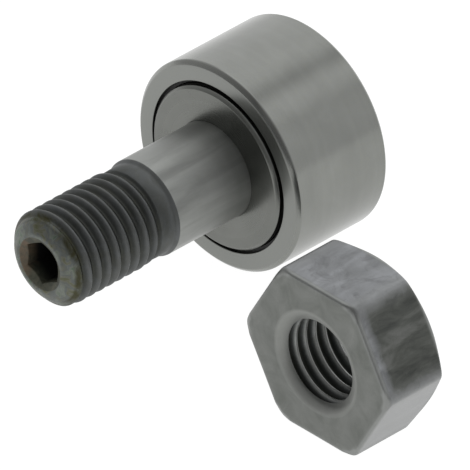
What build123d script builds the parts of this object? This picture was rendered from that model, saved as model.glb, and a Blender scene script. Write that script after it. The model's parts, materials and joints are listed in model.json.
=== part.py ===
from build123d import *

import math
import os

# Stud-type cam follower: a 22 mm needle-bearing roller on a 10 mm threaded stud, and its nut.
#
# Frame, in millimetres: the origin is where the stud's axis meets the seating face of the
# side washer. +X runs out along the stud to its threaded end, +Z is up. The roller is at
# x < 0 and touches the supporting surface at z = -ROLLER_D / 2. The loose nut lies on one
# flat beside the stud, on the same surface, with its axis parallel to X.

# ---------------------------------------------------------------- driving dimensions
ROLLER_D = 22.0
ROLLER_W = 12.0
ROLLER_EDGE_AXIAL = 0.40
ROLLER_EDGE_RADIAL = 0.45
STUD_D = 10.0
STUD_REACH = 23.0            # seating face to threaded end
OVERALL_L = 36.0             # head face to threaded end
WASHER_PROUD = 0.4           # seating face beyond the roller's face
WASHER_SEAT_D = 10.6         # press-fit seat under the side washer

SHANK_END = 9.4              # end of the ground shank
NECK_START = 9.75
NECK_END = 11.3
NECK_D = 9.5
RUNOUT_W = 0.8               # ring groove in which the thread starts
RUNOUT_SIDE = 0.25
THREAD_D = 9.86
THREAD_PITCH = 1.25
THREAD_DEPTH = 0.70
POINT_L = 1.34               # rounded point of the stud, in two cones
POINT_TIP_L = 0.48
POINT_D = 8.04               # where the two cones meet
POINT_FACE_D = 6.3

END_SOCKET_AF = 4.0
END_SOCKET_DEPTH = 5.0
HEAD_SOCKET_AF = 5.0
HEAD_SOCKET_DEPTH = 4.0
SOCKET_RIM = 0.5             # countersink beyond the hexagon's corners
OIL_BORE_D = 1.8
CROSS_HOLE_D = 1.2
PLUG_HEAD_D = 3.6
PLUG_HEAD_L = 0.8
PLUG_STEM_L = 4.0

NEEDLE_COUNT = 16
NEEDLE_D = 2.0
NEEDLE_L = 6.8
NEEDLE_EDGE = 0.3
INNER_RACE_D = 12.0
RACE_CLEARANCE = 0.015       # radial, needle to each raceway
CAGE_WALL = 1.2
CAGE_L = 7.8
POCKET_PLAY = 0.1

COUNTERBORE_D = 17.9         # recess in each roller face
SHOULDER_GAP = 8.0           # between the two recess floors
FLANGE_D = 17.1              # side washer and stud head
FLANGE_INNER_GAP = 9.1       # between the washer and the head
FLANGE_EDGE = 0.3
SEAL_PLAY = 0.04
SEAL_LIP_INNER_R = 8.63
SEAL_LIP_DEPTH = 0.6         # seal lip below the roller's face

NUT_AF = 17.0
NUT_H = 8.0
NUT_BORE_D = 8.65
NUT_THREAD_D = 10.1
NUT_SINK_D = 10.8
NUT_FRONT_D = 18.2           # flat face inside the slight 30 degree corner chamfer
NUT_BACK_D = 16.6            # the same on the more deeply chamfered face
NUT_X = 9.3                  # centre of the loose nut
NUT_Y = 27.3

CUT_OVER = 1.0               # how far a cutter starts outside the material
GROOVE_OVER = 0.12           # the same for a thread groove

# ---------------------------------------------------------------- worked out
STUD_R = STUD_D / 2
WASHER_SEAT_R = WASHER_SEAT_D / 2
ROLLER_R = ROLLER_D / 2
RACE_MID_X = -(WASHER_PROUD + ROLLER_W / 2)
HEAD_X = STUD_REACH - OVERALL_L
FLANGE_R = FLANGE_D / 2
HEAD_INNER_X = RACE_MID_X - FLANGE_INNER_GAP / 2
WASHER_INNER_X = RACE_MID_X + FLANGE_INNER_GAP / 2
THREAD_R = THREAD_D / 2
NEEDLE_R = NEEDLE_D / 2
RACE_R = INNER_RACE_D / 2
PITCH_R = RACE_R + RACE_CLEARANCE + NEEDLE_R
OUTER_RACE_R = PITCH_R + NEEDLE_R + RACE_CLEARANCE
OIL_BORE_R = OIL_BORE_D / 2
NUT_CENTRE = Vector(NUT_X, NUT_Y, NUT_AF / 2 - ROLLER_R)
TAN_30 = math.tan(math.radians(30))


def turn(outline, centre=(0, 0, 0), mode=Mode.ADD):
    """Revolve a closed (x, radius) outline, measured from centre, about X."""
    with BuildSketch(Plane(origin=centre)) as profile:
        with BuildLine():
            Polyline(*outline, close=True)
        make_face()
    revolve(profile.sketch, axis=Axis(centre, (1, 0, 0)), mode=mode)


def both_ends(half):
    """Complete half of an (x, radius) outline by its mirror image about x = 0."""
    return half + [(-x, radius) for x, radius in reversed(half)]


def hex_socket(face_x, outward, across_flats, depth):
    """Cut a hexagon socket, a corner up, with a 120 degree countersink and a drilled floor."""
    mouth_r = across_flats / math.sqrt(3) + SOCKET_RIM
    drill_r = across_flats / 2
    floor_x = face_x - outward * depth
    with BuildSketch(Plane.YZ.offset(face_x)) as hexagon:
        RegularPolygon(across_flats / 2, 6, major_radius=False, rotation=30)
    extrude(hexagon.sketch, amount=-outward * depth, mode=Mode.SUBTRACT)
    outside_x = face_x + outward * CUT_OVER
    turn([(outside_x, 0), (outside_x, mouth_r + CUT_OVER / TAN_30),
          (face_x - outward * mouth_r * TAN_30, 0)], mode=Mode.SUBTRACT)
    turn([(floor_x, 0), (floor_x, drill_r), (floor_x + outward * drill_r, drill_r),
          (floor_x + outward * drill_r, 0)], mode=Mode.SUBTRACT)
    turn([(floor_x, 0), (floor_x, drill_r), (floor_x - outward * drill_r / 2, 0)],
         mode=Mode.SUBTRACT)


def cut_thread(start, length, surface_r, depth, inward):
    """Cut a 60 degree helical groove along X; inward is -1 on a shaft and 1 in a bore."""
    crest_w = THREAD_PITCH / 8
    mouth = (THREAD_PITCH - crest_w) / 2 + GROOVE_OVER * TAN_30
    root = mouth - (depth + GROOVE_OVER) * TAN_30
    helix = Helix(THREAD_PITCH, length, surface_r, center=start, direction=(1, 0, 0))
    radial = (helix @ 0 - Vector(start)).normalized()
    with BuildSketch(Plane(helix @ 0, x_dir=radial * inward, z_dir=helix % 0)) as groove:
        with BuildLine():
            Polyline((-GROOVE_OVER, -mouth), (depth, -root), (depth, root),
                     (-GROOVE_OVER, mouth), close=True)
        make_face()
    sweep(groove.sketch, path=helix, is_frenet=True, mode=Mode.SUBTRACT)


def finish(builder, name):
    """Name a finished piece and write it out."""
    builder.part.label = name
    export_step(builder.part, f"parts/{name}.step")


os.makedirs("parts", exist_ok=True)

# ---------------------------------------------------------------- stud: head, raceway, shank, thread
runout_r = THREAD_R - THREAD_DEPTH
runout_end = NECK_END + RUNOUT_W
with BuildPart() as stud:
    turn([(HEAD_X, 0), (HEAD_X, FLANGE_R - FLANGE_EDGE), (HEAD_X + FLANGE_EDGE, FLANGE_R),
          (HEAD_INNER_X, FLANGE_R), (HEAD_INNER_X, RACE_R),
          (WASHER_INNER_X, RACE_R), (WASHER_INNER_X, WASHER_SEAT_R),
          (0, WASHER_SEAT_R), (0, STUD_R), (SHANK_END, STUD_R), (NECK_START, NECK_D / 2),
          (NECK_END, NECK_D / 2), (NECK_END + RUNOUT_SIDE, runout_r),
          (runout_end - RUNOUT_SIDE, runout_r), (runout_end, THREAD_R),
          (STUD_REACH - POINT_L, THREAD_R), (STUD_REACH - POINT_TIP_L, POINT_D / 2),
          (STUD_REACH, POINT_FACE_D / 2), (STUD_REACH, 0)])
    hex_socket(STUD_REACH, 1, END_SOCKET_AF, END_SOCKET_DEPTH)
    hex_socket(HEAD_X, -1, HEAD_SOCKET_AF, HEAD_SOCKET_DEPTH)
    turn([(HEAD_X, 0), (HEAD_X, OIL_BORE_R), (STUD_REACH, OIL_BORE_R), (STUD_REACH, 0)],
         mode=Mode.SUBTRACT)
    with BuildSketch(Plane.XY) as cross_hole:
        with Locations((RACE_MID_X, 0)):
            Circle(CROSS_HOLE_D / 2)
    extrude(cross_hole.sketch, amount=INNER_RACE_D, mode=Mode.SUBTRACT)
    thread_start = NECK_END + RUNOUT_W / 2
    cut_thread((thread_start, 0, 0), STUD_REACH + THREAD_PITCH - thread_start, THREAD_R,
               depth=THREAD_DEPTH, inward=-1)
finish(stud, "stud")

# ---------------------------------------------------------------- side washer, pressed on the stud
with BuildPart() as side_washer:
    turn([(0, WASHER_SEAT_R), (0, FLANGE_R - FLANGE_EDGE), (-FLANGE_EDGE, FLANGE_R),
          (WASHER_INNER_X, FLANGE_R), (WASHER_INNER_X, WASHER_SEAT_R)])
finish(side_washer, "side_washer")

# ---------------------------------------------------------------- plug in the head socket's floor
with BuildPart() as lube_plug:
    plug_r = PLUG_HEAD_D / 2
    seat_x = HEAD_X + HEAD_SOCKET_DEPTH + (HEAD_SOCKET_AF / 2 - plug_r) / 2
    neck_x = seat_x + (plug_r - OIL_BORE_R) / 2
    turn([(seat_x - PLUG_HEAD_L, 0), (seat_x - PLUG_HEAD_L, plug_r - PLUG_HEAD_L / 2),
          (seat_x - PLUG_HEAD_L / 2, plug_r), (seat_x, plug_r), (neck_x, OIL_BORE_R),
          (neck_x + PLUG_STEM_L, OIL_BORE_R), (neck_x + PLUG_STEM_L, 0)])
finish(lube_plug, "lube_plug")

# ---------------------------------------------------------------- outer ring, the roller itself
race_centre = (RACE_MID_X, 0, 0)
with BuildPart() as outer_ring:
    half_w = ROLLER_W / 2
    turn(both_ends([(SHOULDER_GAP / 2, OUTER_RACE_R), (SHOULDER_GAP / 2, COUNTERBORE_D / 2),
                    (half_w, COUNTERBORE_D / 2), (half_w, ROLLER_R - ROLLER_EDGE_RADIAL),
                    (half_w - ROLLER_EDGE_AXIAL, ROLLER_R)]), centre=race_centre)
finish(outer_ring, "outer_ring")

# ---------------------------------------------------------------- plastic seal rings, one at each end
seal_inner_x = SHOULDER_GAP / 2 + SEAL_PLAY
seal_outer_x = FLANGE_INNER_GAP / 2 - SEAL_PLAY
lip_tip_x = ROLLER_W / 2 - SEAL_LIP_DEPTH
seal_outer_r = COUNTERBORE_D / 2
for name, side in (("seal_stud_side", 1), ("seal_head_side", -1)):
    with BuildPart() as seal:
        turn([(side * x, radius) for x, radius in
              ((seal_inner_x, RACE_R + SEAL_PLAY), (seal_inner_x, seal_outer_r),
               (lip_tip_x, seal_outer_r), (lip_tip_x, SEAL_LIP_INNER_R),
               (seal_outer_x, SEAL_LIP_INNER_R), (seal_outer_x, RACE_R + SEAL_PLAY))],
             centre=race_centre)
    finish(seal, name)

# ---------------------------------------------------------------- cage with one pocket a needle
needle_angles = [360 * index / NEEDLE_COUNT for index in range(NEEDLE_COUNT)]
with BuildPart() as cage:
    turn(both_ends([(CAGE_L / 2, PITCH_R - CAGE_WALL / 2), (CAGE_L / 2, PITCH_R + CAGE_WALL / 2)]),
         centre=race_centre)
    for angle in needle_angles:
        outward = Vector(0, 0, 1).rotate(Axis.X, angle)
        with BuildSketch(Plane(race_centre, x_dir=(1, 0, 0), z_dir=outward)) as pocket:
            Rectangle(NEEDLE_L + POCKET_PLAY, NEEDLE_D + POCKET_PLAY)
        extrude(pocket.sketch, amount=ROLLER_R, mode=Mode.SUBTRACT)
finish(cage, "cage")

# ---------------------------------------------------------------- needle rollers
for number, angle in enumerate(needle_angles, start=1):
    centre = Vector(race_centre) + Vector(0, 0, PITCH_R).rotate(Axis.X, angle)
    with BuildPart(Plane(centre, z_dir=(1, 0, 0))) as needle:
        Cylinder(NEEDLE_R, NEEDLE_L)
        fillet(needle.edges().filter_by(GeomType.CIRCLE), NEEDLE_EDGE)
    finish(needle, f"needle_{number:02d}")

# ---------------------------------------------------------------- hexagon nut
half_h = NUT_H / 2
with BuildPart() as nut:
    with BuildSketch(Plane(NUT_CENTRE - Vector(half_h, 0, 0), x_dir=(0, 1, 0), z_dir=(1, 0, 0))):
        RegularPolygon(NUT_AF / 2, 6, major_radius=False)
    extrude(amount=NUT_H)
    cone_l = NUT_H / 3
    outside_x = half_h + CUT_OVER
    front_r = NUT_FRONT_D / 2
    back_r = NUT_BACK_D / 2
    turn([(outside_x, 0), (outside_x, front_r - CUT_OVER / TAN_30),
          (half_h - cone_l, front_r + cone_l / TAN_30), (cone_l - half_h, back_r + cone_l / TAN_30),
          (-outside_x, back_r - CUT_OVER / TAN_30), (-outside_x, 0)],
         centre=NUT_CENTRE, mode=Mode.INTERSECT)
    sink_r = NUT_SINK_D / 2
    bore_r = NUT_BORE_D / 2
    sink_depth = (sink_r - bore_r) * TAN_30
    turn(both_ends([(outside_x, 0), (outside_x, sink_r + CUT_OVER / TAN_30),
                    (half_h - sink_depth, bore_r)]), centre=NUT_CENTRE, mode=Mode.SUBTRACT)
    cut_thread(NUT_CENTRE - Vector(half_h + THREAD_PITCH, 0, 0), NUT_H + 2 * THREAD_PITCH, bore_r,
               depth=(NUT_THREAD_D - NUT_BORE_D) / 2, inward=1)
finish(nut, "nut")
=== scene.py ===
import json
import math

import bpy
import numpy as np
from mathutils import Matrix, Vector


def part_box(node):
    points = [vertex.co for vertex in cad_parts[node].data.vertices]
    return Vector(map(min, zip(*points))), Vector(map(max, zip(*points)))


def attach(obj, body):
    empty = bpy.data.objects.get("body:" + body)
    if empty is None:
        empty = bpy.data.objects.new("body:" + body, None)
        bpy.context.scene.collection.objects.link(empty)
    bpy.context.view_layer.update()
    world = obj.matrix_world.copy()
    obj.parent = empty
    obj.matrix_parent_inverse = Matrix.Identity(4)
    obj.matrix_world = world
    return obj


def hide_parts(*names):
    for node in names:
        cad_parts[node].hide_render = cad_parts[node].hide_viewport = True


# Looks of a stud-type cam follower and its loose nut. Metres; +X runs along the stud to its
# threaded end, +Z is up. Each visible piece is a closed mesh of revolution whose outline may
# change with the angle round the axis, which makes its threads and hexagons too.

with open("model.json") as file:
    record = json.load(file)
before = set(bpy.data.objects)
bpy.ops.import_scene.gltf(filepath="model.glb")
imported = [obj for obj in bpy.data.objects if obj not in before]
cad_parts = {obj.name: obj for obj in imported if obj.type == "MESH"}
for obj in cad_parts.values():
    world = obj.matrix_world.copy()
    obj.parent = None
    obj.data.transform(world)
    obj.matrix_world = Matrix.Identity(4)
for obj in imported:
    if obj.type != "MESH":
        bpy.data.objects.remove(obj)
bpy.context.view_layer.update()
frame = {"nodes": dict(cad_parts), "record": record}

MM = 0.001
MOUNTS = {mount["name"]: mount for mount in frame["record"]["mounts"]}


def cad_span(node, axis):
    """Lowest and highest coordinate of a CAD node along axis 0, 1 or 2, in millimetres."""
    low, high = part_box(node)
    return low[axis] / MM, high[axis] / MM


def cad_radius(node):
    """Outer radius, in millimetres, of a CAD node that is round about the X direction."""
    return min(high - low for low, high in (cad_span(node, 1), cad_span(node, 2))) / 2 - 0.004


# ---------------------------------------------------------------- sizes, in millimetres
HEAD_X, END_X = cad_span("stud", 0)
RING_X0, RING_X1 = cad_span("outer_ring", 0)
RING_R = cad_radius("outer_ring")
RING_MID_X = (RING_X0 + RING_X1) / 2
RECESS_R = cad_radius("seal_head_side")
RACEWAY_R = 8.035
RECESS_FLOOR = 4.0            # from the middle of the roller's width
RING_EDGE_AXIAL, RING_EDGE_RADIAL = 0.40, 0.45
FLANGE_EDGE = 0.30
FLANGE_R = cad_radius("side_washer")
WASHER_BACK_X, WASHER_FACE_X = cad_span("side_washer", 0)
SHANK_R = MOUNTS["shank"]["dims"]["r_mm"]
SHANK_END_X = MOUNTS["shank"]["dims"]["length_mm"]
THREAD_R = MOUNTS["stud_thread"]["dims"]["r_mm"]
PITCH = 1.25
THREAD_DEPTH = 0.54
NECK_X, NECK_R = 9.75, 4.75
RUNOUT_X0, RUNOUT_X1 = 11.3, 12.1
SHOULDER_X = -0.3             # the shank steps up to the washer's seat
SEAT_R = 5.3
RACE_R = 6.0
HEAD_BACK_X = -10.95
POINT_FACE_R = 3.15
POINT_L, POINT_R, POINT_SLOPE = 0.48, 4.02, 1.06
THREAD_START = 0.95           # from the end to the first row of the thread
STEP = 0.01                   # between the two corners of a square shoulder
THREAD_GROOVE_X = 13.1
BORE_R = 0.9
MID_X, HALF_L = (HEAD_X + END_X) / 2, (END_X - HEAD_X) / 2
SOCKETS = {"end": (END_X, 1, 4.0, 5.0), "head": (HEAD_X, -1, 5.0, 4.0)}
SOCKET_RIM = 0.5
SOCKET_TURN = math.radians(30)

NUT_LOW, NUT_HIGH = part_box("nut")
NUT_CENTRE = (Vector(NUT_LOW) + Vector(NUT_HIGH)) / 2
NUT_HALF_H = (NUT_HIGH[0] - NUT_LOW[0]) / MM / 2
NUT_APOTHEM = (NUT_HIGH[2] - NUT_LOW[2]) / MM / 2
NUT_FRONT_R, NUT_BACK_R = 9.1, 8.3
NUT_BORE_R = 4.33
NUT_THREAD_R = 5.04
NUT_SINK_R = 5.4
NUT_CORNER_R = 0.9
NUT_LEAST_CUT = 0.06
NUT_FRONT_ROLL = 0.8          # width of the worn border of the front face

SAMPLES_PER_PITCH = 16
TAN_30 = math.tan(math.radians(30))


# ---------------------------------------------------------------- meshes of revolution
def even_angles(count):
    """Angles round the X axis, from +Y towards +Z."""
    return np.arange(count) * 2 * math.pi / count


def hexagon_radius(angles, apothem, corner_r=0.0, turn=0.0):
    """Radius of a hexagon at each angle, with its corners, the first at turn, rounded off."""
    from_corner = (angles - turn + math.pi / 6) % (math.pi / 3) - math.pi / 6
    flat = apothem / np.cos(math.pi / 6 - np.abs(from_corner))
    if not corner_r:
        return flat
    centre = (apothem - corner_r) / math.cos(math.pi / 6)
    tangent = math.atan2(corner_r / 2, centre + corner_r * math.cos(math.pi / 6))
    inside = np.clip(corner_r**2 - (centre * np.sin(from_corner)) ** 2, 0, None)
    rounded = centre * np.cos(from_corner) + np.sqrt(inside)
    return np.where(np.abs(from_corner) < tangent, rounded, flat)


def hexagon_angles(per_side, corner_half_width):
    """Angles for a hexagon whose corners start at angle 0, closer together at each corner."""
    near = np.linspace(-corner_half_width, corner_half_width, 9)
    between = np.linspace(corner_half_width, math.pi / 3 - corner_half_width, per_side)[1:-1]
    side = np.concatenate([near, between])
    return np.concatenate([side + k * math.pi / 3 for k in range(6)])


def groove_depth(from_middle, depth):
    """Depth of a rolled, rounded thread groove at a distance, in pitches, from its middle."""
    return depth * 0.5 * (1 + np.cos(2 * math.pi * from_middle))


def thread_depth(x, angles, depth, groove_x):
    """Depth of a right-hand thread whose groove passes groove_x at the top of the shaft."""
    turns = (x - groove_x) / PITCH - (angles - math.pi / 2) / (2 * math.pi)
    return groove_depth((turns + 0.5) % 1.0 - 0.5, depth)


def column_points(corners, angles, samples=4):
    """Round each (x, radius, fillet) corner of a closed outline, for all the angles at once."""
    count = len(angles)
    xs = np.array([np.broadcast_to(c[0], count) for c in corners], float)
    rs = np.array([np.broadcast_to(c[1], count) for c in corners], float)
    points = np.stack([xs, rs], axis=-1)
    rows = []
    for i, (_, _, fillet) in enumerate(corners):
        here = points[i]
        if not fillet:
            rows.append(here)
            continue
        back = points[i - 1] - here
        ahead = points[(i + 1) % len(corners)] - here
        back_len = np.linalg.norm(back, axis=-1, keepdims=True) + 1e-12
        ahead_len = np.linalg.norm(ahead, axis=-1, keepdims=True) + 1e-12
        trim = np.minimum(fillet, 0.45 * np.minimum(back_len, ahead_len))
        start = here + back / back_len * trim
        end = here + ahead / ahead_len * trim
        for t in np.linspace(0, 1, samples):
            rows.append((1 - t) ** 2 * start + 2 * t * (1 - t) * here + t**2 * end)
    return np.array(rows)


def revolved(name, corners, angles, materials, centre=(0, 0, 0), finishes=()):
    """Make a closed mesh from an outline of (x, radius, fillet) corners, in millimetres.

    finishes holds (low x, high x, low radius, high radius, material index), in millimetres.
    """
    rows = column_points(corners, angles)
    row_count, column_count = rows.shape[:2]
    x, radius = rows[..., 0], rows[..., 1]
    vertices = np.stack([x, radius * np.cos(angles), radius * np.sin(angles)], axis=-1)
    vertices = vertices.reshape(-1, 3) * MM + np.array(centre)
    row, column = np.meshgrid(np.arange(row_count), np.arange(column_count), indexing="ij")
    next_row = (row + 1) % row_count
    next_column = (column + 1) % column_count
    faces = np.stack([row * column_count + column, next_row * column_count + column,
                      next_row * column_count + next_column,
                      row * column_count + next_column], axis=-1).reshape(-1, 4)
    mesh = bpy.data.meshes.new(name)
    mesh.from_pydata(vertices.tolist(), [], faces.tolist())
    mesh.polygons.foreach_set("use_smooth", [True] * len(faces))
    for material in materials:
        mesh.materials.append(material)
    middle_x = ((x + x[next_row[:, 0]]) / 2).reshape(-1)
    middle_r = ((radius + radius[next_row[:, 0]]) / 2).reshape(-1)
    index = np.zeros(len(faces), int)
    for low_x, high_x, low_r, high_r, material_index in finishes:
        chosen = (middle_x > low_x) & (middle_x < high_x) & (middle_r > low_r) & (middle_r < high_r)
        index[chosen] = material_index
    mesh.polygons.foreach_set("material_index", index.tolist())
    mesh.update()
    if signed_volume(mesh) < 0:
        mesh.flip_normals()
    piece = bpy.data.objects.new(name, mesh)
    bpy.context.scene.collection.objects.link(piece)
    weighted = piece.modifiers.new("even_shading", "WEIGHTED_NORMAL")
    weighted.keep_sharp = True
    return piece


def signed_volume(mesh):
    """Volume enclosed by a closed mesh, negative when its faces point inwards."""
    mesh.calc_loop_triangles()
    total = 0.0
    for triangle in mesh.loop_triangles:
        a, b, c = (mesh.vertices[i].co for i in triangle.vertices)
        total += a.dot(b.cross(c)) / 6
    return total


def mirrored(half):
    """Complete half of an outline by its mirror image about x = 0."""
    return half + [(-x, r, fillet) for x, r, fillet in reversed(half)]


def moved(corners, shift):
    """Shift an outline along X."""
    return [(x + shift, r, fillet) for x, r, fillet in corners]


# ---------------------------------------------------------------- pieces
def make_ring(materials):
    """Outer ring: tread, chamfers, faces, recess for the washer and raceway."""
    half_w = (RING_X1 - RING_X0) / 2
    half = [(RECESS_FLOOR - 2 * STEP, RACEWAY_R, 0.05), (RECESS_FLOOR, RECESS_R, 0.05),
            (half_w, RECESS_R, 0.09), (half_w, RING_R - RING_EDGE_RADIAL, 0.10),
            (half_w - RING_EDGE_AXIAL, RING_R, 0.14)]
    return revolved("roller_ring", moved(mirrored(half), RING_MID_X), even_angles(360), materials)


def make_washer(materials):
    """Side washer with a ground face, hugging the shank at the face."""
    bore_r = SHANK_R + 0.012
    seat_x = SHOULDER_X - 2 * STEP
    outline = [(WASHER_FACE_X, bore_r, 0.03), (WASHER_FACE_X, FLANGE_R - FLANGE_EDGE, 0.08),
               (WASHER_FACE_X - FLANGE_EDGE, FLANGE_R, 0.08), (WASHER_BACK_X, FLANGE_R, 0.05),
               (WASHER_BACK_X, SEAT_R, 0.03), (seat_x, SEAT_R, 0), (seat_x, bore_r, 0)]
    return revolved("washer_plate", outline, even_angles(288), materials)


def socket_corners(which, angles, from_bore):
    """Outline of a hexagon socket, from the lubrication bore to the countersunk mouth."""
    face_x, outward, across_flats, depth = SOCKETS[which]
    mouth_r = across_flats / math.sqrt(3) + SOCKET_RIM
    drill_r = across_flats / 2
    floor_x = face_x - outward * depth
    wall = hexagon_radius(angles, across_flats / 2 + 0.001, turn=SOCKET_TURN)
    corners = [(floor_x - outward * (drill_r - BORE_R) / 2, BORE_R, 0.03),
               (floor_x, drill_r - 0.005, 0), (floor_x, wall, 0.05),
               (face_x - outward * (mouth_r - wall) * TAN_30, wall, 0.10),
               (face_x, mouth_r, 0.12)]
    return corners if from_bore else corners[::-1]


def stud_thread(angles):
    """Rows of the external thread, from the rounded end back to the ring groove it starts in."""
    rows = []
    middle = (RUNOUT_X0 + RUNOUT_X1) / 2
    count = int((END_X - RUNOUT_X0) / PITCH * SAMPLES_PER_PITCH)
    for x in np.linspace(END_X - THREAD_START, RUNOUT_X0 + 0.05, count):
        depth = groove_depth(min(abs(x - middle) / PITCH, 0.5), THREAD_DEPTH) + 0 * angles
        if x > middle:
            depth = np.maximum(depth, thread_depth(x, angles, THREAD_DEPTH, THREAD_GROOVE_X))
        cone = POINT_R + (END_X - POINT_L - x) * POINT_SLOPE
        neck = NECK_R + max(0.0, x - RUNOUT_X0 - 0.3) * 2
        rows.append((x, np.minimum(np.minimum(THREAD_R - STEP - depth, cone), neck), 0))
    return rows


def make_stud(materials):
    """Stud: head flange, raceway, ground shank, blackened neck and thread, and both sockets."""
    angles = even_angles(336)
    corners = socket_corners("end", angles, from_bore=True)
    corners += [(END_X, POINT_FACE_R, 0.30), (END_X - POINT_L, POINT_R, 0.40)]
    corners += stud_thread(angles)
    corners += [(NECK_X, NECK_R, 0.15), (SHANK_END_X, SHANK_R, 0.12),
                (SHANK_END_X - 0.2, SHANK_R, 0), (0.02, SHANK_R, 0),
                (SHOULDER_X, SHANK_R, 0), (SHOULDER_X - STEP, SEAT_R, 0),
                (WASHER_BACK_X, SEAT_R, 0), (WASHER_BACK_X - STEP, RACE_R, 0.05),
                (HEAD_BACK_X, RACE_R, 0.05), (HEAD_BACK_X - STEP, FLANGE_R, 0.05),
                (HEAD_X + FLANGE_EDGE, FLANGE_R, 0.08), (HEAD_X, FLANGE_R - FLANGE_EDGE, 0.08)]
    corners += socket_corners("head", angles, from_bore=False)
    end_mouth_r, head_mouth_r = (SOCKETS[which][2] / math.sqrt(3) + SOCKET_RIM - 0.06
                                 for which in ("end", "head"))
    finishes = [(SHANK_END_X - 0.02, END_X + 1, 0, RING_R, 1),
                (END_X - 6.5, END_X - 0.02, 0, end_mouth_r, 2),
                (HEAD_X + 0.02, HEAD_X + 5.5, 0, head_mouth_r, 2)]
    return revolved("stud_turned", corners, angles, materials, finishes=finishes)


def make_nut(materials):
    """Hexagon nut: chamfered corners, countersunk mouths and an internal thread."""
    angles = hexagon_angles(per_side=30, corner_half_width=math.radians(3.4))
    hexagon = hexagon_radius(angles, NUT_APOTHEM - 0.002, NUT_CORNER_R)
    front_cut, back_cut = (np.maximum((hexagon - face_r) * TAN_30, NUT_LEAST_CUT)
                           for face_r in (NUT_FRONT_R, NUT_BACK_R))
    front_r = hexagon - NUT_FRONT_ROLL
    outside = [(NUT_HALF_H, NUT_SINK_R, 0.20), (NUT_HALF_H, front_r, 0.25),
               (NUT_HALF_H - front_cut, hexagon, 0.35), (back_cut - NUT_HALF_H, hexagon, 0.30),
               (-NUT_HALF_H, NUT_BACK_R - 0.02, 0.14), (-NUT_HALF_H, NUT_SINK_R, 0.20)]
    sink_x = NUT_HALF_H - (NUT_SINK_R - NUT_BORE_R) * TAN_30
    count = int(2 * sink_x / PITCH * SAMPLES_PER_PITCH)
    thread = []
    for x in np.linspace(-sink_x, sink_x, count):
        depth = thread_depth(x, angles, NUT_THREAD_R - NUT_BORE_R, 0)
        fade = min(1.0, (sink_x - abs(x)) / 0.3)
        thread.append((x, NUT_BORE_R + 0.005 + depth * fade, 0))
    return revolved("nut_forged", outside + thread, angles, materials, centre=NUT_CENTRE,
                    finishes=[(-sink_x, sink_x, 0, NUT_THREAD_R + 0.1, 1)])


# ---------------------------------------------------------------- materials
def shade(tone, factor):
    """A lighter or darker version of a colour."""
    return tuple(factor * channel for channel in tone)


def warmed(tone, blue):
    """The colour with less blue."""
    return (tone[0], 0.99 * tone[1], blue * tone[2])


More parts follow.
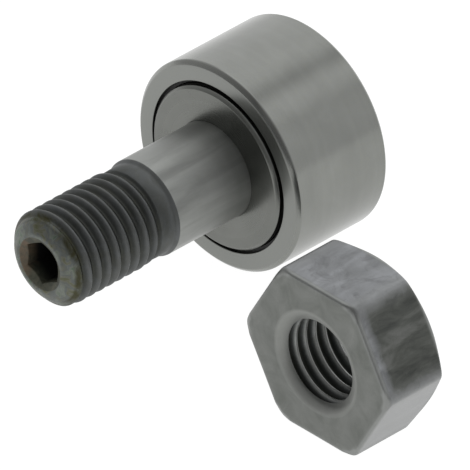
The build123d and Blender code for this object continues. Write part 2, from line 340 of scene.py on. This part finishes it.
class Nodes:
    """Short-hand for building one material's node tree."""

    def __init__(self, name):
        self.material = bpy.data.materials.new(name)
        self.material.use_nodes = True
        self.tree = self.material.node_tree
        self.shader = self.tree.nodes["Principled BSDF"]

    def add(self, kind, **settings):
        node = self.tree.nodes.new(kind)
        for key, value in settings.items():
            if key in node.inputs:
                node.inputs[key].default_value = value
            else:
                setattr(node, key, value)
        return node

    def link(self, source, target):
        self.tree.links.new(source, target)

    def math(self, operation, a, b=0.0, c=0.0):
        node = self.add("ShaderNodeMath", operation=operation)
        for socket, value in zip(node.inputs, (a, b, c)):
            if isinstance(value, (int, float)):
                socket.default_value = value
            else:
                self.link(value, socket)
        return node.outputs[0]

    def place(self, centre=(0, 0, 0)):
        """Position in millimetres from centre."""
        coordinates = self.add("ShaderNodeTexCoord")
        mapping = self.add("ShaderNodeMapping", vector_type="POINT")
        mapping.inputs["Scale"].default_value = (1000, 1000, 1000)
        mapping.inputs["Location"].default_value = [-1000 * c for c in centre]
        self.link(coordinates.outputs["Object"], mapping.inputs["Vector"])
        return mapping.outputs[0]

    def stretched(self, vector, scale):
        node = self.add("ShaderNodeVectorMath", operation="MULTIPLY")
        node.inputs[1].default_value = scale
        self.link(vector, node.inputs[0])
        return node.outputs[0]

    def split(self, vector, axis):
        """One coordinate of a vector."""
        node = self.add("ShaderNodeSeparateXYZ")
        self.link(vector, node.inputs[0])
        return node.outputs[axis]

    def turned(self, vector):
        """(x, radius, 0) of a place, so that a pattern of it runs round the X axis."""
        split = self.add("ShaderNodeSeparateXYZ")
        self.link(vector, split.inputs[0])
        y2 = self.math("MULTIPLY", split.outputs[1], split.outputs[1])
        z2 = self.math("MULTIPLY", split.outputs[2], split.outputs[2])
        radius = self.math("SQRT", self.math("ADD", y2, z2))
        join = self.add("ShaderNodeCombineXYZ")
        self.link(split.outputs[0], join.inputs[0])
        self.link(radius, join.inputs[1])
        return join.outputs[0]

    def noise(self, vector, scale, detail=3.0, roughness=0.5, distortion=0.0):
        node = self.add("ShaderNodeTexNoise", Scale=scale, Detail=detail, Roughness=roughness,
                        Distortion=distortion)
        self.link(vector, node.inputs["Vector"])
        return node.outputs["Fac"]

    def ramp(self, value, stops):
        """Map a value through (position, grey or colour) stops."""
        node = self.add("ShaderNodeValToRGB")
        elements = node.color_ramp.elements
        while len(elements) < len(stops):
            elements.new(0.5)
        for element, (position, colour) in zip(elements, stops):
            element.position = position
            if isinstance(colour, (int, float)):
                colour = (colour, colour, colour)
            element.color = (*colour, 1)
        self.link(value, node.inputs[0])
        return node.outputs[0]

    def mix(self, factor, a, b, blend="MIX"):
        node = self.add("ShaderNodeMix", data_type="RGBA", blend_type=blend)
        for socket, value in zip((node.inputs[0], node.inputs[6], node.inputs[7]), (factor, a, b)):
            if isinstance(value, (int, float)):
                socket.default_value = value
            elif isinstance(value, tuple):
                socket.default_value = (*value, 1)
            else:
                self.link(value, socket)
        return node.outputs[2]

    def bump(self, height, strength, distance, under=None):
        node = self.add("ShaderNodeBump", Strength=strength, Distance=distance)
        self.link(height, node.inputs["Height"])
        if under:
            self.link(under, node.inputs["Normal"])
        return node.outputs[0]

    def finish(self, colour, roughness, normal):
        self.shader.inputs["Metallic"].default_value = 1.0
        self.link(colour, self.shader.inputs["Base Color"])
        self.link(roughness, self.shader.inputs["Roughness"])
        self.link(normal, self.shader.inputs["Normal"])
        return self.material


def ground_steel(name, tone, rough, line_scale, lines=0.2, face_tone=None, spread=0.5,
                 painted_light=0.0):
    """Ground bearing steel: grinding lines round the axis, faint cloudy stains and specks.

    face_tone shades the faces of the roller, which are rougher too. The last argument, for the
    shank, is the strength of painted light that makes it lighter towards the thread; with it come
    dark lengthwise streaks of painted reflection.
    """
    n = Nodes(name)
    place = n.place()
    around = n.turned(place)
    fine = n.noise(n.stretched(around, (line_scale, line_scale, 0)), 1.0, detail=6, roughness=0.7)
    broad = n.noise(n.stretched(around, (1.1, 1.1, 0)), 1.0, detail=2)
    clouds = n.noise(place, 0.22, detail=3, roughness=0.55, distortion=0.6)
    specks = n.noise(place, 3.2, detail=5, roughness=0.65)
    colour = n.ramp(clouds, [(0.30, shade(tone, 0.92)), (0.52, tone), (0.72, shade(tone, 1.07))])
    colour = n.mix(n.ramp(specks, [(0.45, 0.0), (0.75, 0.4)]), colour, warmed(tone, 0.88))
    colour = n.mix(n.ramp(fine, [(0.35, 0.16), (0.65, 0.0)]), colour, shade(tone, 0.6))
    colour = n.mix(n.ramp(broad, [(0.40, 0.12), (0.60, 0.0)]), colour, shade(tone, 0.7))
    rough_out = n.math("MULTIPLY_ADD", fine, 0.08, rough - 0.05)
    rough_out = n.math("MULTIPLY_ADD", clouds, 0.06, rough_out)
    if face_tone:
        reach = n.math("ABSOLUTE", n.math("SUBTRACT", n.split(place, 0), RING_MID_X))
        on_face = n.ramp(n.math("MULTIPLY_ADD", reach, 5.0, -28.8), [(0.3, 0.0), (0.8, 1.0)])
        colour = n.mix(on_face, colour, shade(tone, face_tone))
        rough_out = n.math("ADD", rough_out, n.math("MULTIPLY", on_face, 0.09))
    if painted_light:
        # painted light: the shank is made lighter towards the thread, standing in for how the light
        # falls along it
        along = n.math("MULTIPLY", n.split(place, 0), 0.1)
        towards_thread = n.ramp(along, [(0.15, 0.0), (0.9, 1.0)])
        colour = n.mix(n.math("MULTIPLY", towards_thread, painted_light), colour, shade(tone, 1.5))
        # painted reflection: dark lengthwise streaks stand in for streaky reflections off the
        # uneven ground surface
        lengthwise = n.stretched(place, (0.10, 0.7, 0.7))
        streaks = n.noise(lengthwise, 1.0, detail=4, distortion=0.6)
        colour = n.mix(n.ramp(streaks, [(0.40, 0.35), (0.58, 0.0)]), colour, shade(tone, 0.62))
    normal = n.bump(fine, lines, 0.00001)
    normal = n.bump(specks, 0.08, 0.00002, under=normal)
    tangent = n.add("ShaderNodeTangent", direction_type="RADIAL", axis="X")
    n.link(tangent.outputs[0], n.shader.inputs["Tangent"])
    n.shader.inputs["Anisotropic"].default_value = spread
    n.shader.inputs["Anisotropic Rotation"].default_value = 0.25
    return n.finish(colour, rough_out, normal)


def blackened_steel(name, centre, dark, crest_tone, crest_way=1, crest_r=THREAD_R):
    """Black-oxide steel: blue-grey, lighter on the crests, partly from wear and partly as a painted
    highlight, with painted shade in the grooves and olive oil stains.

    crest_way is 1 where thread crests are the outermost points, and -1 in a bore.
    """
    n = Nodes(name)
    place = n.place(centre)
    clouds = n.noise(place, 0.35, detail=4, roughness=0.6, distortion=0.8)
    grain = n.noise(place, 7.0, detail=6, roughness=0.7)
    stains = n.noise(n.stretched(place, (1.0, 0.7, 0.7)), 0.55, detail=5, roughness=0.65,
                     distortion=1.2)
    colour = n.ramp(clouds, [(0.30, shade((0.078, 0.083, 0.083), dark)),
                             (0.55, shade((0.096, 0.102, 0.102), dark)),
                             (0.75, shade((0.122, 0.128, 0.127), dark))])
    radius = n.split(n.turned(place), 1)
    along = n.split(place, 0)
    height = n.math("MULTIPLY_ADD", radius, crest_way, 0.8 - crest_way * crest_r)
    crest = n.math("MULTIPLY_ADD", grain, 0.25, height)
    # painted shade: the thread grooves are darkened, standing in for the shade inside them
    colour = n.mix(n.ramp(crest, [(0.34, 0.75), (0.66, 0.0)]), colour, (0.034, 0.036, 0.031))
    # lighter crests: partly worn oxide, partly a painted highlight
    colour = n.mix(n.ramp(crest, [(0.62, 0.0), (0.88, 0.7)]), colour, crest_tone)
    end = n.math("MULTIPLY_ADD", along, 0.5, 1.0 - 0.5 * END_X)
    near_end = n.ramp(end, [(0.20, 0.0), (0.70, 1.0)])
    tints = n.noise(place, 0.62, detail=3, roughness=0.55, distortion=1.0)
    patchy = n.ramp(tints, [(0.32, (0.110, 0.150, 0.112)), (0.42, (0.185, 0.200, 0.176)),
                            (0.52, (0.128, 0.140, 0.140)), (0.60, (0.165, 0.168, 0.138)),
                            (0.70, (0.112, 0.118, 0.070))])
    colour = n.mix(near_end, colour, patchy)
    low = n.ramp(height, [(0.55, 1.0), (0.78, 0.0)])
    first_groove = n.ramp(end, [(0.20, 0.0), (0.34, 1.0), (0.62, 1.0), (0.72, 0.0)])
    stain_amount = n.math("MULTIPLY_ADD", n.math("MULTIPLY", first_groove, low), 0.7, 0.22)
    stain = n.math("MULTIPLY", n.ramp(stains, [(0.40, 0.15), (0.60, 1.0)]), stain_amount)
    colour = n.mix(stain, colour, (0.048, 0.046, 0.022))
    rough = n.math("MULTIPLY_ADD", grain, 0.18, 0.42)
    normal = n.bump(grain, 0.30, 0.00003)
    return n.finish(colour, rough, normal)


def socket_oxide_and_shade(name):
    """Broached socket walls with scale and old oil, browner in patches towards -Y, and painted
    shade that turns them nearly black deeper in.
    """
    n = Nodes(name)
    place = n.place()
    patches = n.noise(place, 0.75, detail=4, roughness=0.6, distortion=0.8)
    grain = n.noise(place, 6.0, detail=5, roughness=0.7)
    colour = n.ramp(patches, [(0.36, (0.036, 0.041, 0.030)), (0.52, (0.062, 0.066, 0.045)),
                              (0.66, (0.096, 0.094, 0.066))])
    # browner in patches towards -Y
    aside = n.ramp(n.math("MULTIPLY_ADD", n.split(place, 1), -0.2, 0.5), [(0.75, 0.0), (0.90, 1.0)])
    browner_aside = n.math("MULTIPLY", aside, n.ramp(patches, [(0.38, 0.1), (0.60, 0.8)]))
    colour = n.mix(browner_aside, colour, (0.125, 0.082, 0.050))
    from_middle = n.math("ABSOLUTE", n.math("SUBTRACT", n.split(place, 0), MID_X))
    depth = n.math("SUBTRACT", HALF_L, from_middle)
    # painted shade: the walls turn nearly black deeper into the socket, standing in for the shade
    # where little light reaches
    painted_depth_shade = n.ramp(n.math("MULTIPLY_ADD", grain, 0.15, n.math("MULTIPLY", depth, 0.4)),
                   [(0.42, 0.0), (0.80, 0.97)])
    colour = n.mix(painted_depth_shade, colour, (0.004, 0.004, 0.005))
    rough = n.math("MULTIPLY_ADD", grain, 0.2, 0.45)
    material = n.finish(colour, rough, n.bump(grain, 0.4, 0.00003))
    n.shader.inputs["Metallic"].default_value = 0.35
    return material


def forged_steel(name, centre):
    """Nut steel: soft draw scratches along the axis, with painted light and shade: painted
    highlights along the facets' edges next to both faces, the lower facet on the +Y side lighter as
    a painted floor reflection, the upper facet on the +Y side darkened in blotches as painted
    shade, and the countersinks painted lighter.
    """
    n = Nodes(name)
    place = n.place(centre)
    along, across, height = (n.split(place, axis) for axis in range(3))
    lengthwise = n.stretched(place, (0.30, 1.0, 1.0))
    drawn = n.noise(lengthwise, 0.62, detail=5, roughness=0.62, distortion=0.5)
    coarse = n.noise(lengthwise, 0.35, detail=3, roughness=0.6, distortion=0.4)
    blotches = n.noise(place, 0.42, detail=5, roughness=0.65, distortion=0.9)
    clouds = n.noise(place, 0.3, detail=4, roughness=0.6, distortion=0.7)
    grain = n.noise(place, 5.0, detail=6, roughness=0.7)
    from_middle = n.math("MULTIPLY", n.math("ABSOLUTE", along), 0.25)
    on_facet = n.ramp(from_middle, [(0.84, 1.0), (0.95, 0.0)])
    sided = n.ramp(n.math("MULTIPLY", across, 0.1), [(0.44, 0.0), (0.52, 1.0)])
    above = n.ramp(n.math("MULTIPLY_ADD", height, 0.1, 0.5), [(0.46, 0.0), (0.51, 1.0)])
    face = n.ramp(clouds, [(0.30, (0.132, 0.139, 0.128)), (0.50, (0.165, 0.172, 0.161)),
                           (0.70, (0.198, 0.204, 0.193))])
    facet = n.ramp(clouds, [(0.30, (0.205, 0.213, 0.217)), (0.50, (0.255, 0.264, 0.272)),
                           (0.70, (0.300, 0.309, 0.320))])
    facet = n.mix(n.ramp(drawn, [(0.34, 0.35), (0.60, 0.0)]), facet, (0.120, 0.124, 0.124))
    facet = n.mix(n.ramp(coarse, [(0.42, 0.4), (0.60, 0.0)]), facet, (0.115, 0.118, 0.118))
    facet = n.mix(n.ramp(blotches, [(0.52, 0.0), (0.66, 0.6)]), facet, (0.115, 0.118, 0.120))
    # painted reflection: the lower facet on the +Y side is made lighter, standing in for the bright
    # floor it reflects
    painted_floor_reflection = n.math("MULTIPLY", sided, n.math("SUBTRACT", 1.0, above))
    facet = n.mix(n.math("MULTIPLY", painted_floor_reflection, 0.75), facet, (0.330, 0.335, 0.332))
    slant = n.math("MULTIPLY_ADD", height, 0.866, n.math("MULTIPLY", across, -0.5))
    wander = n.math("MULTIPLY_ADD", blotches, 0.5, -0.25)
    from_corner = n.math("MULTIPLY_ADD", n.math("ABSOLUTE", slant), 0.2, wander)
    from_front = n.math("MULTIPLY_ADD", along, 0.25, wander)
    inner = n.math("MULTIPLY", n.ramp(from_corner, [(0.76, 1.0), (0.98, 0.0)]),
                   n.ramp(from_front, [(0.62, 1.0), (0.84, 0.0)]))
    # painted shade (the mask called scale): the upper facet on the +Y side is darkened in blotches,
    # standing in for the dark reflection it catches
    scale = n.math("MULTIPLY", n.math("MULTIPLY", sided, above), inner)
    painted_shade_tones = n.ramp(drawn, [(0.34, (0.046, 0.049, 0.044)), (0.50, (0.078, 0.082, 0.073)),
                          (0.66, (0.128, 0.131, 0.122))])
    facet = n.mix(n.math("MULTIPLY", scale, 0.92), facet, painted_shade_tones)
    colour = n.mix(on_facet, face, facet)
    # painted highlight: a light band along the facets' edges next to both faces
    rim = n.ramp(from_middle, [(0.88, 0.0), (0.93, 1.0), (0.98, 1.0), (0.995, 0.0)])
    colour = n.mix(n.math("MULTIPLY", rim, 0.6), colour, (0.300, 0.308, 0.300))
    reach = n.split(n.turned(place), 1)
    # painted light: the countersinks are made lighter, against the dark reflection they catch
    sunk = n.ramp(n.math("MULTIPLY_ADD", reach, 1.0, -5.0), [(0.25, 1.0), (0.65, 0.0)])
    colour = n.mix(n.math("MULTIPLY", sunk, 0.9), colour, (0.325, 0.333, 0.316))
    corner = n.ramp(n.math("MULTIPLY_ADD", reach, 1.0, -9.0), [(0.10, 0.0), (0.60, 0.4)])
    colour = n.mix(corner, colour, (0.215, 0.220, 0.214))
    colour = n.mix(n.ramp(grain, [(0.60, 0.0), (0.80, 0.25)]), colour, (0.25, 0.255, 0.25))
    rough = n.math("MULTIPLY_ADD", grain, 0.14, 0.29)
    rough = n.math("MULTIPLY_ADD", drawn, 0.10, rough)
    rough = n.math("MULTIPLY_ADD", sunk, 0.25, rough)
    normal = n.bump(drawn, 0.16, 0.00005)
    normal = n.bump(grain, 0.20, 0.00004, under=normal)
    return n.finish(colour, rough, normal)


def rolling_steel(name, tone, rough_low):
    """Lapped needles, pressed cage and turned plug: bright steel with light marks."""
    n = Nodes(name)
    place = n.place()
    marks = n.noise(n.stretched(place, (0.4, 3.0, 3.0)), 1.0, detail=5, roughness=0.6)
    clouds = n.noise(place, 0.5, detail=3)
    colour = n.ramp(clouds, [(0.3, shade(tone, 0.85)), (0.7, tone)])
    rough = n.math("MULTIPLY_ADD", marks, 0.2, rough_low)
    return n.finish(colour, rough, n.bump(marks, 0.15, 0.00002))


def moulded_seal(name):
    """Black moulded plastic with a fine matt texture."""
    n = Nodes(name)
    place = n.place()
    grain = n.noise(place, 9.0, detail=4, roughness=0.6)
    colour = n.ramp(grain, [(0.3, (0.008, 0.008, 0.008)), (0.7, (0.020, 0.020, 0.019))])
    rough = n.math("MULTIPLY_ADD", grain, 0.25, 0.45)
    material = n.finish(colour, rough, n.bump(grain, 0.3, 0.00002))
    n.shader.inputs["Metallic"].default_value = 0.0
    return material


def dress(node_object, material):
    """Give a carried-over CAD node a better material."""
    for slot in node_object.material_slots:
        slot.material = material


# ---------------------------------------------------------------- stage
def make_camera():
    """Long-lens camera at the angle at which the follower is shown."""
    azimuth, elevation = math.radians(135.8), math.radians(34.33)
    distance = 2.0
    pixels_per_mm, frame_pixels, sensor = 10.53, 470, 36.0
    aim_right, aim_down = 1.94, 6.26
    ahead = Vector((-math.sin(azimuth) * math.cos(elevation),
                    math.cos(azimuth) * math.cos(elevation), -math.sin(elevation)))
    right = Vector((math.cos(azimuth), math.sin(azimuth), 0))
    down = ahead.cross(right)
    data = bpy.data.cameras.new("camera")
    data.sensor_width = sensor
    data.lens = pixels_per_mm * distance / MM / frame_pixels * sensor
    data.clip_start, data.clip_end = 0.1, 20
    camera = bpy.data.objects.new("camera", data)
    camera.location = (right * aim_right + down * aim_down) * MM - ahead * distance
    camera.rotation_mode = "QUATERNION"
    camera.rotation_quaternion = ahead.to_track_quat("-Z", "Y")
    bpy.context.scene.collection.objects.link(camera)
    bpy.context.scene.camera = camera


def make_floor():
    """Plain white sheet, lit a little from below like a light table."""
    size = 12.0
    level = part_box("outer_ring")[0][2]
    mesh = bpy.data.meshes.new("floor")
    corners = [(x * size, y * size, level) for x, y in ((-1, -1), (1, -1), (1, 1), (-1, 1))]
    mesh.from_pydata(corners, [], [(0, 1, 2, 3)])
    floor = bpy.data.objects.new("floor", mesh)
    bpy.context.scene.collection.objects.link(floor)
    n = Nodes("floor_white")
    n.shader.inputs["Base Color"].default_value = (0.14, 0.14, 0.14, 1)
    n.shader.inputs["Roughness"].default_value = 0.9
    n.shader.inputs["Specular IOR Level"].default_value = 0.0
    n.shader.inputs["Emission Color"].default_value = (1, 1, 1, 1)
    n.shader.inputs["Emission Strength"].default_value = 0.97
    mesh.materials.append(n.material)


def make_light():
    """Soft surround in graded bands, brighter towards the head and white below.

    It isn't a plain light. Its levels and its slope along X were worked out from how bright the
    photograph is round the roller and the shank.
    """
    world = bpy.data.worlds.new("studio")
    world.use_nodes = True
    tree = world.node_tree

    def node(kind, **inputs):
        made = tree.nodes.new(kind)
        for key, value in inputs.items():
            setattr(made, key, value)
        return made

    def calculate(operation, a, b, c=0.0, clamp=False):
        made = node("ShaderNodeMath", operation=operation, use_clamp=clamp)
        for socket, value in zip(made.inputs, (a, b, c)):
            if isinstance(value, (int, float)):
                socket.default_value = value
            else:
                tree.links.new(value, socket)
        return made.outputs[0]

    direction = node("ShaderNodeSeparateXYZ")
    tree.links.new(node("ShaderNodeTexCoord").outputs["Generated"], direction.inputs[0])
    x, y, z = direction.outputs
    tilt = calculate("MULTIPLY_ADD", calculate("ARCTAN2", y, z), 1 / math.pi, 0.5)
    ramp = node("ShaderNodeValToRGB")
    tree.links.new(tilt, ramp.inputs[0])
    peak = 1.2
    # Degrees about X from overhead towards +Y, and level.
    stops = [(-90, 1.00), (-68, 1.13), (-40, 1.17), (-24, 1.12), (-9, 0.93), (3, 0.70), (12, 1.02),
             (19, 1.20), (30, 1.10), (42, 0.89), (62, 0.91), (86, 0.86)]
    elements = ramp.color_ramp.elements
    while len(elements) < len(stops):
        elements.new(0.5)
    for element, (degrees, level) in zip(elements, stops):
        element.position = degrees / 180 + 0.5
        grey = level / peak
        element.color = (grey, grey, grey * 1.01, 1)
    towards_front = calculate("MULTIPLY_ADD", x, -0.53, 0.695)
    shaded = node("ShaderNodeMix", data_type="RGBA", blend_type="MULTIPLY")
    shaded.inputs[0].default_value = 1.0
    tree.links.new(ramp.outputs[0], shaded.inputs[6])
    tree.links.new(towards_front, shaded.inputs[7])
    below = calculate("LESS_THAN", z, -0.002)
    whole = node("ShaderNodeMix", data_type="RGBA")
    tree.links.new(below, whole.inputs[0])
    tree.links.new(shaded.outputs[2], whole.inputs[6])
    whole.inputs[7].default_value = (1.08 / peak, 1.08 / peak, 1.08 / peak, 1)
    background = tree.nodes["Background"]
    tree.links.new(whole.outputs[2], background.inputs["Color"])
    background.inputs["Strength"].default_value = peak
    bpy.context.scene.world = world
    lamp = bpy.data.lights.new("overhead", "SUN")
    lamp.energy = 0.25
    lamp.angle = math.radians(50)
    light = bpy.data.objects.new("overhead", lamp)
    light.rotation_mode = "QUATERNION"
    light.rotation_quaternion = Vector((0.15, 0.25, -1.0)).to_track_quat("-Z", "Y")
    bpy.context.scene.collection.objects.link(light)
    bpy.context.scene.view_settings.view_transform = "Standard"
    bpy.context.scene.view_settings.look = "None"


# ---------------------------------------------------------------- assembly
ring_steel = ground_steel("ring_steel", (0.243, 0.250, 0.236), 0.20, 9.0, face_tone=0.95)
washer_steel = ground_steel("washer_steel", (0.176, 0.181, 0.170), 0.26, 7.0, lines=0.1,
                            spread=0.0)
shank_steel = ground_steel("shank_steel", (0.232, 0.239, 0.228), 0.33, 11.0, spread=0.85,
                           painted_light=0.52)
thread_steel = blackened_steel("thread_black", (0, 0, 0), 1.0, (0.142, 0.148, 0.150))
socket_steel = socket_oxide_and_shade("socket_oxide_and_shade")
nut_steel = forged_steel("nut_steel", NUT_CENTRE)
# The nut's bore thread is painted light: its tones are raised by half and its crests made light
# against the shade inside the nut; its grooves get painted shade.
nut_thread_steel = blackened_steel("nut_thread_dark", NUT_CENTRE, 1.5, (0.460, 0.470, 0.455),
                                   crest_way=-1, crest_r=NUT_BORE_R)

PIECES = ((make_ring, (ring_steel,), "roller", "outer_ring", "ring_steel"),
          (make_washer, (washer_steel,), "stud", "side_washer", "washer_steel"),
          (make_stud, (shank_steel, thread_steel, socket_steel), "stud", "stud", "stud_steel"),
          (make_nut, (nut_steel, nut_thread_steel), "nut", "nut", "nut_steel"))
for make, materials, body, node, slot_name in PIECES:
    made = make(materials)
    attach(made, body)
    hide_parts(node)

needle_steel = rolling_steel("needle_steel", (0.62, 0.62, 0.61), 0.08)
cage_steel = rolling_steel("cage_steel", (0.42, 0.42, 0.40), 0.25)
plug_steel = rolling_steel("plug_steel", (0.36, 0.36, 0.34), 0.22)
seal_plastic = moulded_seal("seal_plastic")
for node_name, node_object in frame["nodes"].items():
    if node_name.startswith("needle_"):
        dress(node_object, needle_steel)
    elif node_name.startswith("seal_"):
        dress(node_object, seal_plastic)
    elif node_name == "cage":
        dress(node_object, cage_steel)
    elif node_name == "lube_plug":
        dress(node_object, plug_steel)

make_floor()
make_light()
make_camera()
